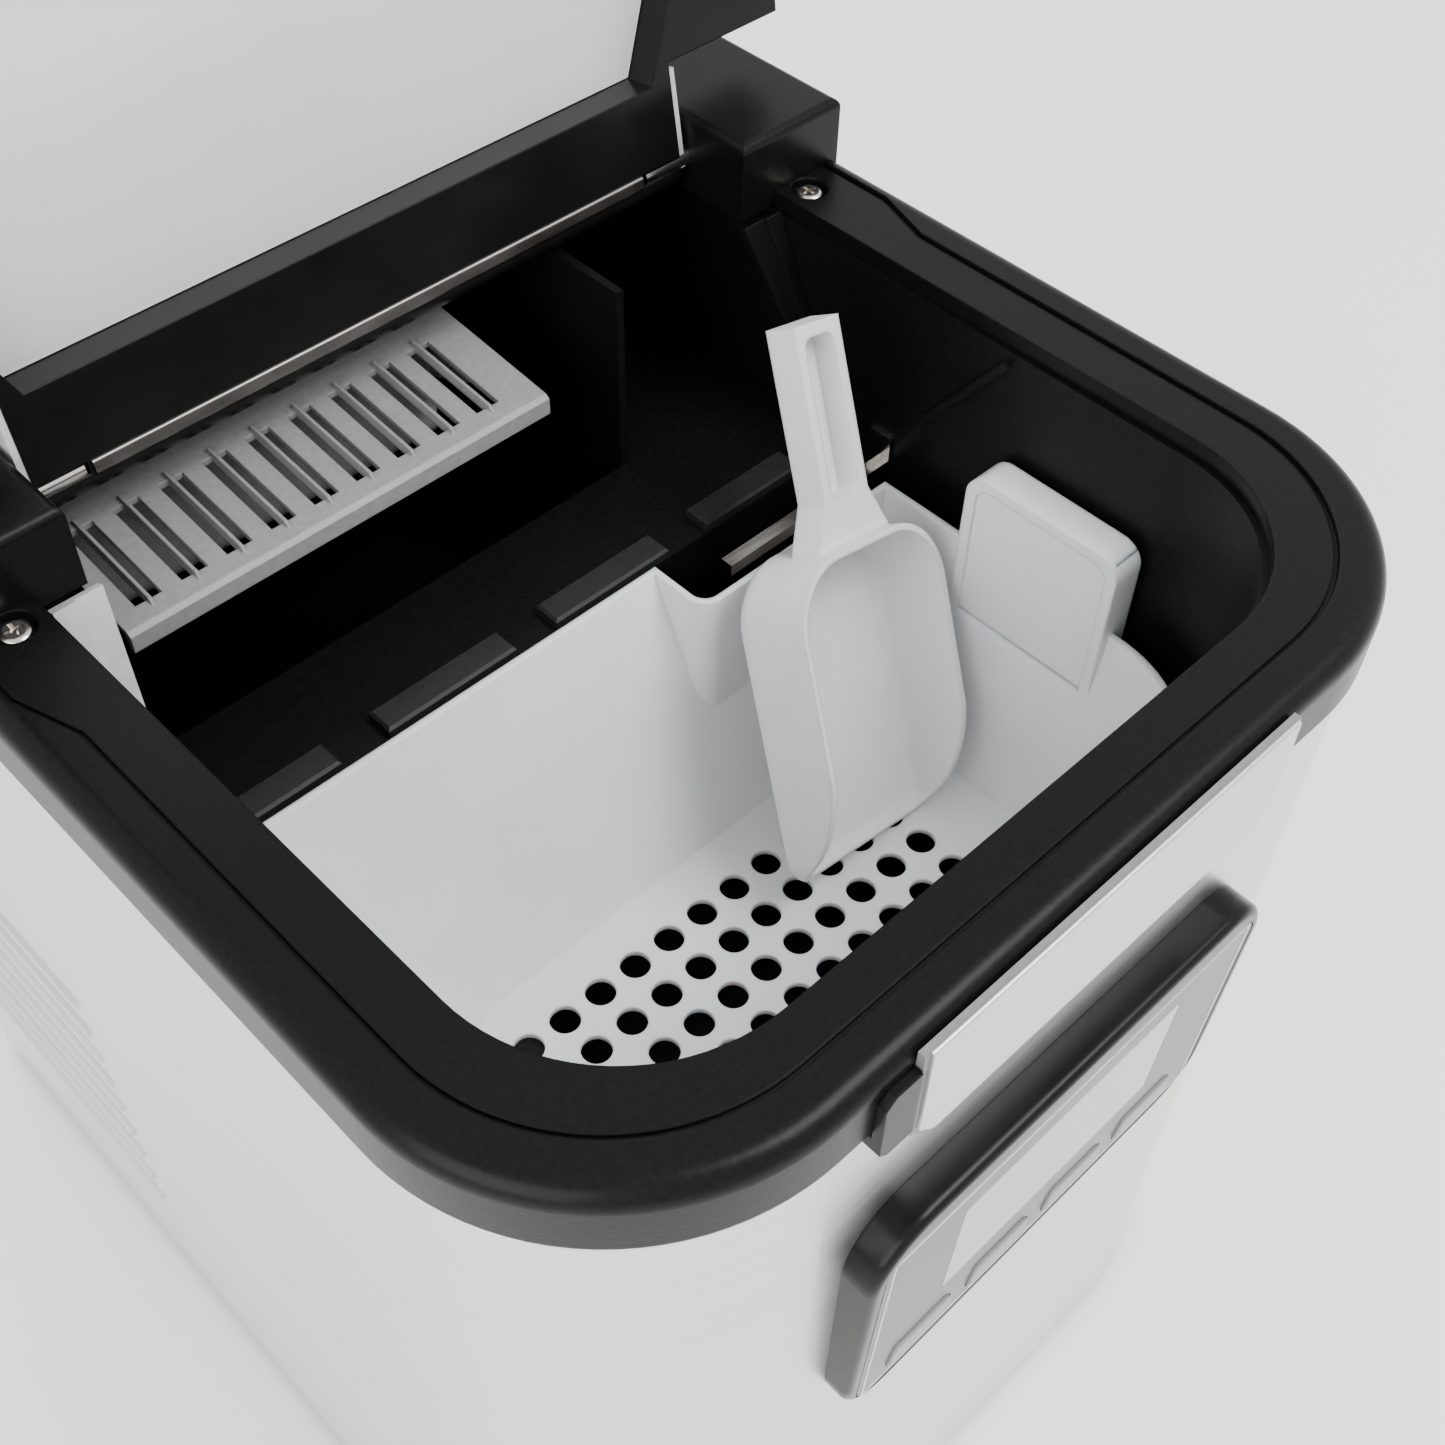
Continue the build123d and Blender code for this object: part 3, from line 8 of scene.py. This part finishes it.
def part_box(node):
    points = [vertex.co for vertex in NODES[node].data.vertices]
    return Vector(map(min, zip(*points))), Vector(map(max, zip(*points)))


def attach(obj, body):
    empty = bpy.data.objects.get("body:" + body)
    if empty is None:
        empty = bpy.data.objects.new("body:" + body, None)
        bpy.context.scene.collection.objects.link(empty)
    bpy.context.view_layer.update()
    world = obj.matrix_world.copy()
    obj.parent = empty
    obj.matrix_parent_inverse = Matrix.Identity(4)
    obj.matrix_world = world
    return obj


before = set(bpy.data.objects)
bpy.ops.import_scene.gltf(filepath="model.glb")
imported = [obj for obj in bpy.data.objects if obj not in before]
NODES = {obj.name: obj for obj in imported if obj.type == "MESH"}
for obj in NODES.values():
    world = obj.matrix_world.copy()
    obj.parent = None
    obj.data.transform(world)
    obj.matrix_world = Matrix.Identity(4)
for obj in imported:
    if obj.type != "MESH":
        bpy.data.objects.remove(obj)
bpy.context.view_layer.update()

# ---------------------------------------------------------------- materials


def link(tree, source, target):
    """Join two sockets of a node tree."""
    tree.links.new(source, target)


BUMP_DISTANCE = 0.0002
COAT_ROUGHNESS = 0.08
SCATTER_DEPTH = 0.004
RAMP_ENDS = (0.3, 0.7)           # stretch of the noise over which the colour changes
SMOOTHEST = 0.02
BEVEL_SAMPLES = 4


def material(name, dark, light, rough, metal=0.0, scale=(60, 60, 60), bump=0.0, spread=0.06, coat=0.0,
             specular=0.5, transmission=0.0, subsurface=0.0, anisotropy=0.0, ior=1.5, edge=0.0):
    """Principled material whose colour, gloss and surface vary with fine noise in the part's own space."""
    mat = bpy.data.materials.new(name)
    mat.use_nodes = True
    tree = mat.node_tree
    shader = tree.nodes["Principled BSDF"]
    shader.inputs["Metallic"].default_value = metal
    shader.inputs["Coat Weight"].default_value = coat
    shader.inputs["Coat Roughness"].default_value = COAT_ROUGHNESS
    shader.inputs["Specular IOR Level"].default_value = specular
    shader.inputs["Transmission Weight"].default_value = transmission
    shader.inputs["Subsurface Weight"].default_value = subsurface
    shader.inputs["Subsurface Scale"].default_value = SCATTER_DEPTH
    shader.inputs["Anisotropic"].default_value = anisotropy
    shader.inputs["IOR"].default_value = ior
    place = tree.nodes.new("ShaderNodeTexCoord")
    stretch = tree.nodes.new("ShaderNodeMapping")
    stretch.inputs["Scale"].default_value = scale
    link(tree, place.outputs["Object"], stretch.inputs["Vector"])
    noise = tree.nodes.new("ShaderNodeTexNoise")
    noise.inputs["Scale"].default_value = 1.0
    noise.inputs["Detail"].default_value = 4.0
    link(tree, stretch.outputs["Vector"], noise.inputs["Vector"])
    ramp = tree.nodes.new("ShaderNodeValToRGB")
    ramp.color_ramp.elements[0].position = RAMP_ENDS[0]
    ramp.color_ramp.elements[1].position = RAMP_ENDS[1]
    ramp.color_ramp.elements[0].color = (*dark, 1)
    ramp.color_ramp.elements[1].color = (*light, 1)
    link(tree, noise.outputs["Fac"], ramp.inputs["Fac"])
    link(tree, ramp.outputs["Color"], shader.inputs["Base Color"])
    gloss = tree.nodes.new("ShaderNodeMapRange")
    gloss.inputs["To Min"].default_value = max(rough - spread, SMOOTHEST)
    gloss.inputs["To Max"].default_value = rough + spread
    link(tree, noise.outputs["Fac"], gloss.inputs["Value"])
    link(tree, gloss.outputs["Result"], shader.inputs["Roughness"])
    relief = tree.nodes.new("ShaderNodeBump")
    relief.inputs["Strength"].default_value = bump
    relief.inputs["Distance"].default_value = BUMP_DISTANCE
    link(tree, noise.outputs["Fac"], relief.inputs["Height"])
    link(tree, relief.outputs["Normal"], shader.inputs["Normal"])
    if edge:
        rounding = tree.nodes.new("ShaderNodeBevel")
        rounding.samples = BEVEL_SAMPLES
        rounding.inputs["Radius"].default_value = edge
        link(tree, rounding.outputs["Normal"], relief.inputs["Normal"])
    return mat


def grey(low, high):
    """Neutral dark and light colours for material()."""
    return (low, low, low), (high, high, high)


black_satin = material("black_satin", *grey(0.003, 0.005), 0.3, scale=(900, 900, 900), bump=0.2,
                       specular=0.12, edge=0.0008)
black_gloss = material("black_gloss", *grey(0.004, 0.006), 0.22, scale=(40, 40, 40), specular=0.14,
                       edge=0.0008)
black_matte = material("black_matte", *grey(0.003, 0.005), 0.4, scale=(700, 700, 700), bump=0.3,
                       specular=0.14)
pad_grey = material("pad_grey", *grey(0.012, 0.018), 0.35, scale=(700, 700, 700), bump=0.2, specular=0.3)
steel = material("brushed_case", (0.70, 0.69, 0.66), (0.78, 0.77, 0.745), 0.34, metal=1.0,
                 scale=(3, 3, 1400),
                 bump=0.06, anisotropy=0.4)
bright_steel = material("bright_steel", (0.55, 0.52, 0.48), (0.72, 0.69, 0.65), 0.2, metal=1.0,
                        scale=(90, 900, 90))
# Lid strip: a metal band whose light sheen is a painted reflection of the white plate, standing in for the
# glossy rounded lower edge of the black lid bar.
painted_reflection_strip = material("painted_reflection_strip", (0.16, 0.15, 0.14), (0.24, 0.225, 0.21), 0.3, metal=1.0,
                       scale=(90, 900, 90))
silver = material("silver_trim", (0.60, 0.60, 0.595), (0.66, 0.66, 0.655), 0.3, metal=0.85,
                  scale=(800, 800, 800), bump=0.05, edge=0.0006)
rim_grey = material("rim_grey", *grey(0.16, 0.19), 0.45, scale=(700, 700, 700), bump=0.1)
basket_grey = material("basket_grey", (0.74, 0.74, 0.75), (0.79, 0.79, 0.80), 0.38, scale=(30, 30, 30),
                       subsurface=0.25, edge=0.0012)
scoop_grey = material("scoop_grey", (0.69, 0.69, 0.70), (0.73, 0.73, 0.74), 0.42, scale=(35, 35, 35),
                      subsurface=0.15,
                      edge=0.0012)
tray_grey = material("tray_grey", *grey(0.19, 0.23), 0.42, scale=(600, 600, 600), bump=0.15, edge=0.0005)
# Light grey: on the left ice guide this is a painted reflection, since that guide is the same black gloss
# plastic as the right one; on the lid hinge caps it is their own light grey.
cap_grey_and_painted_reflection = material("cap_grey_and_painted_reflection", (0.46, 0.47, 0.48), (0.52, 0.53, 0.54), 0.4, scale=(300, 300, 300),
                      bump=0.1)
window = material("lid_frosted", (0.79, 0.79, 0.79), (0.84, 0.84, 0.84), 0.35, scale=(20, 20, 20),
                  transmission=0.35, ior=1.45, spread=0.03)
glass_grey = material("display_smoked", (0.045, 0.045, 0.048), (0.06, 0.06, 0.063), 0.28,
                      scale=(25, 25, 25),
                      coat=0.1, specular=0.25)
lcd_grey = material("lcd_grey", (0.42, 0.42, 0.44), (0.48, 0.48, 0.50), 0.3, scale=(18, 18, 18), coat=0.1)
key_grey = material("key_grey", (0.20, 0.20, 0.205), (0.24, 0.24, 0.245), 0.35, scale=(60, 60, 60),
                    coat=0.1,
                    specular=0.3)
rubber = material("rubber", *grey(0.015, 0.022), 0.75, scale=(900, 900, 900), bump=0.4)
cream = material("cream_plastic", (0.62, 0.60, 0.55), (0.68, 0.66, 0.61), 0.5, scale=(400, 400, 400),
                 bump=0.1)
enamel = material("black_enamel", *grey(0.01, 0.016), 0.25, scale=(200, 200, 200), bump=0.1, coat=0.4)
copper = material("copper", (0.62, 0.27, 0.15), (0.78, 0.38, 0.22), 0.25, metal=1.0, scale=(80, 80, 80))
fin_metal = material("fin_metal", *grey(0.6, 0.7), 0.3, metal=1.0, scale=(200, 200, 30))
laminate = material("laminate", (0.01, 0.10, 0.03), (0.02, 0.16, 0.05), 0.35, scale=(300, 300, 300),
                    coat=0.3)
hose_clear = material("hose_silicone", (0.62, 0.62, 0.60), (0.70, 0.70, 0.68), 0.35, scale=(60, 60, 60),
                      transmission=0.4)
back_paint = material("back_paint", *grey(0.42, 0.46), 0.4, metal=0.6, scale=(900, 900, 900), bump=0.15)

FINISH = {
    # trim_tab is a black piece standing in for painted shadow in the dark gap at the left end of the front
    # grip recess.
    black_satin: ["top_bezel", "rear_cover", "trim_tab"],
    black_gloss: ["lid_frame", "right_ice_guide", "panel_frame"],
    black_matte: ["inner_tub", "base_tray", "fan_shroud", "gear_motor"],
    steel: ["case_wrap"],
    bright_steel: ["bezel_screws", "hinge_pins", "sensor_bracket", "tray_shaft", "evaporator_fingers",
                   "evaporator_bracket"],
    # lid_strip carries a painted reflection along the lid bar's lower edge.
    painted_reflection_strip: ["lid_strip"],
    silver: ["trim_plate"],
    rim_grey: ["trim_rim"],
    pad_grey: ["shelf_pads"],
    basket_grey: ["ice_basket"],
    scoop_grey: ["ice_scoop"],
    tray_grey: ["ice_shovel", "water_trough"],
    # The left ice guide's light grey is a painted reflection; the right ice guide is the same part in
    # black gloss.
    cap_grey_and_painted_reflection: ["left_ice_guide", "lid_hinge_caps"],
    window: ["lid_window"],
    glass_grey: ["display_glass"],
    lcd_grey: ["lcd_screen"],
    key_grey: ["button_left", "button_mid_left", "button_mid_right", "button_right"],
    rubber: ["rubber_feet", "cord_gland", "lid_bumpers", "compressor_grommets", "drain_plug"],
    cream: ["water_pump", "fan_rotor", "lcd_module"],
    enamel: ["compressor", "fan_motor"],
    copper: ["filter_drier", "discharge_tube", "condenser_tube", "capillary_tube", "suction_tube"],
    fin_metal: ["condenser", "evaporator_block"],
    laminate: ["control_board"],
    hose_clear: ["suction_hose", "delivery_hose", "drain_pipe"],
    back_paint: ["rear_panel"],
}
for finish, names in FINISH.items():
    for name in names:
        node = NODES[name]
        for place in node.material_slots:
            place.material = finish

# ---------------------------------------------------------------- printed lines on the display and keys
GLASS_LOW, GLASS_HIGH = (Vector(c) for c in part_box("display_glass"))
GLASS_T = 0.0014                 # thickness of the display glass
TILT = asin((GLASS_HIGH.y - GLASS_LOW.y - GLASS_T) / (GLASS_HIGH.z - GLASS_LOW.z))
FACE_DOWN = Vector((0, sin(TILT), -cos(TILT)))
FACE_OUT = Vector((0, -cos(TILT), -sin(TILT)))
FACE_TOP = Vector((0, GLASS_LOW.y, GLASS_HIGH.z))
INK_T = 0.00012                  # the print stands this far out from its surface


def on_face(x, drop, proud):
    """Point on the display's face: across, down from the glass's top edge, and out from the glass."""
    return FACE_TOP + Vector((x, 0, 0)) + drop * FACE_DOWN + proud * FACE_OUT


def printed(name, outlines, proud, finish, body):
    """Thin raised print riding a body: flat polygons given as (across, down) corners."""
    mesh = bpy.data.meshes.new(name)
    shape = bmesh.new()
    for corners in outlines:
        front = [shape.verts.new(on_face(x, d, proud + INK_T)) for x, d in corners]
        rear = [shape.verts.new(on_face(x, d, proud - INK_T)) for x, d in corners]
        shape.faces.new(front)
        shape.faces.new(rear[::-1])
        for i, corner in enumerate(front):
            j = (i + 1) % len(front)
            shape.faces.new((corner, rear[i], rear[j], front[j]))
    bmesh.ops.recalc_face_normals(shape, faces=shape.faces)
    shape.to_mesh(mesh)
    shape.free()
    piece = bpy.data.objects.new(name, mesh)
    bpy.context.scene.collection.objects.link(piece)
    mesh.materials.append(finish)
    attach(piece, body)


def strip(a, b, width):
    """Corners of a straight line of a width between two points."""
    along = (Vector(b) - Vector(a)).normalized()
    across = Vector((-along.y, along.x)) * width / 2
    near = [tuple(Vector(a) + across), tuple(Vector(b) + across)]
    far = [tuple(Vector(b) - across), tuple(Vector(a) - across)]
    return near + far


def loop_of(points, width):
    """Closed outline drawn as strips."""
    return [strip(points[i], points[(i + 1) % len(points)], width) for i in range(len(points))]


HALF_GLASS = GLASS_HIGH.x
GLASS_DROP = (GLASS_HIGH.z - GLASS_LOW.z) / cos(TILT)
EDGE_IN = 0.0022                 # the border runs this far inside the glass's edge
HAIRLINE = 0.0007
KEY_LINE = 0.0006
edge_x, edge_d = HALF_GLASS - EDGE_IN, GLASS_DROP - EDGE_IN
border = [(-edge_x, EDGE_IN), (edge_x, EDGE_IN), (edge_x, edge_d), (-edge_x, edge_d)]
printed("display_border", loop_of(border, HAIRLINE), 0.0, silver, "cabinet")

KEYS = ("left", "mid_left", "mid_right", "right")
MARKS = {
    "left": [[(-0.004, -0.0012), (0.004, -0.0012), (0.004, -0.0004), (-0.004, -0.0004)],
             [(-0.004, 0.0006), (0.002, 0.0006), (0.002, 0.0014), (-0.004, 0.0014)]],
    "mid_left": [[(-0.003, 0.0014), (0, -0.0018), (0.003, 0.0014)]],
    "mid_right": [[(-0.003, -0.0014), (0.003, -0.0014), (0, 0.0018)]],
    "right": [[(-0.0035, -0.0016), (-0.0025, -0.0016), (-0.0025, 0.0016), (-0.0035, 0.0016)],
              [(-0.0005, -0.0016), (0.0005, -0.0016), (0.0005, 0.0016), (-0.0005, 0.0016)],
              [(0.0025, -0.0016), (0.0035, -0.0016), (0.0035, 0.0016), (0.0025, 0.0016)]],
}
KEY_TOP = 0.0092                 # half width of a key's printed line at its upper edge
KEY_FOOT = 0.0114                # and at its lower edge
KEY_HALF_H = 0.0038
KEY_SINK = 0.0002                # keeps the print in touch with the key's tilted face
for key in KEYS:
    low, high = (Vector(c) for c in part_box("button_" + key))
    middle = (low + high) / 2
    drop = (FACE_TOP.z - middle.z) / cos(TILT)
    key_out = (FACE_TOP.y + drop * sin(TILT) - low.y) / cos(TILT) - KEY_HALF_H * sin(TILT) - KEY_SINK
    upper = [(-KEY_TOP, -KEY_HALF_H), (KEY_TOP, -KEY_HALF_H)]
    frame_line = upper + [(KEY_FOOT, KEY_HALF_H), (-KEY_FOOT, KEY_HALF_H)]
    shapes = loop_of(frame_line, KEY_LINE) + MARKS[key]
    placed = [[(x + middle.x, d + drop) for x, d in shape] for shape in shapes]
    printed("key_print_" + key, placed, key_out, silver, "key_" + key)

# ---------------------------------------------------------------- floor, lights and camera
FLOOR_SIZE = 30
WORLD_STRENGTH = 1.35
bpy.ops.mesh.primitive_plane_add(size=FLOOR_SIZE, location=(0, 0, 0))
floor = bpy.context.object
floor.name = "floor"
floor.data.materials.append(material("floor_pale", *grey(0.92, 0.95), 0.7, scale=(2, 2, 2)))

world = bpy.data.worlds.new("studio")
bpy.context.scene.world = world
world.use_nodes = True
world.node_tree.nodes["Background"].inputs["Color"].default_value = (1, 1, 1, 1)
world.node_tree.nodes["Background"].inputs["Strength"].default_value = WORLD_STRENGTH


def soft_light(name, place, aim, size, power):
    """Square area light at a place, turned towards a point."""
    lamp = bpy.data.lights.new(name, "AREA")
    lamp.shape = "RECTANGLE"
    lamp.size, lamp.size_y = size
    lamp.energy = power
    holder = bpy.data.objects.new(name, lamp)
    holder.location = place
    holder.rotation_euler = (Vector(aim) - Vector(place)).to_track_quat("-Z", "Y").to_euler()
    bpy.context.scene.collection.objects.link(holder)


soft_light("key_light", (0.6, -0.9, 1.9), (0, 0, 0.3), (0.9, 0.9), 34)
soft_light("fill_light", (-1.6, -0.5, 1.0), (0, 0, 0.2), (1.4, 1.4), 30)
soft_light("back_light", (0.4, 1.6, 1.6), (0, 0, 0.3), (1.2, 0.8), 18)

LENS, SENSOR = 46.24, 36
CAMERA_PLACE = (-0.21795, -0.27802, 0.64208)
AZIMUTH, ELEVATION, ROLL = radians(-45.56), radians(49.10), radians(1.773)
back = Vector((sin(AZIMUTH) * cos(ELEVATION), -cos(AZIMUTH) * cos(ELEVATION), sin(ELEVATION)))
level = Vector((cos(AZIMUTH), sin(AZIMUTH), 0))
upright = back.cross(level)
right = cos(ROLL) * level + sin(ROLL) * upright
up = -sin(ROLL) * level + cos(ROLL) * upright
camera_data = bpy.data.cameras.new("camera")
camera_data.lens = LENS
camera_data.sensor_width = SENSOR
camera = bpy.data.objects.new("camera", camera_data)
turn = Matrix((right, up, back)).transposed().to_4x4()
camera.matrix_world = Matrix.Translation(CAMERA_PLACE) @ turn
bpy.context.scene.collection.objects.link(camera)
bpy.context.scene.camera = camera
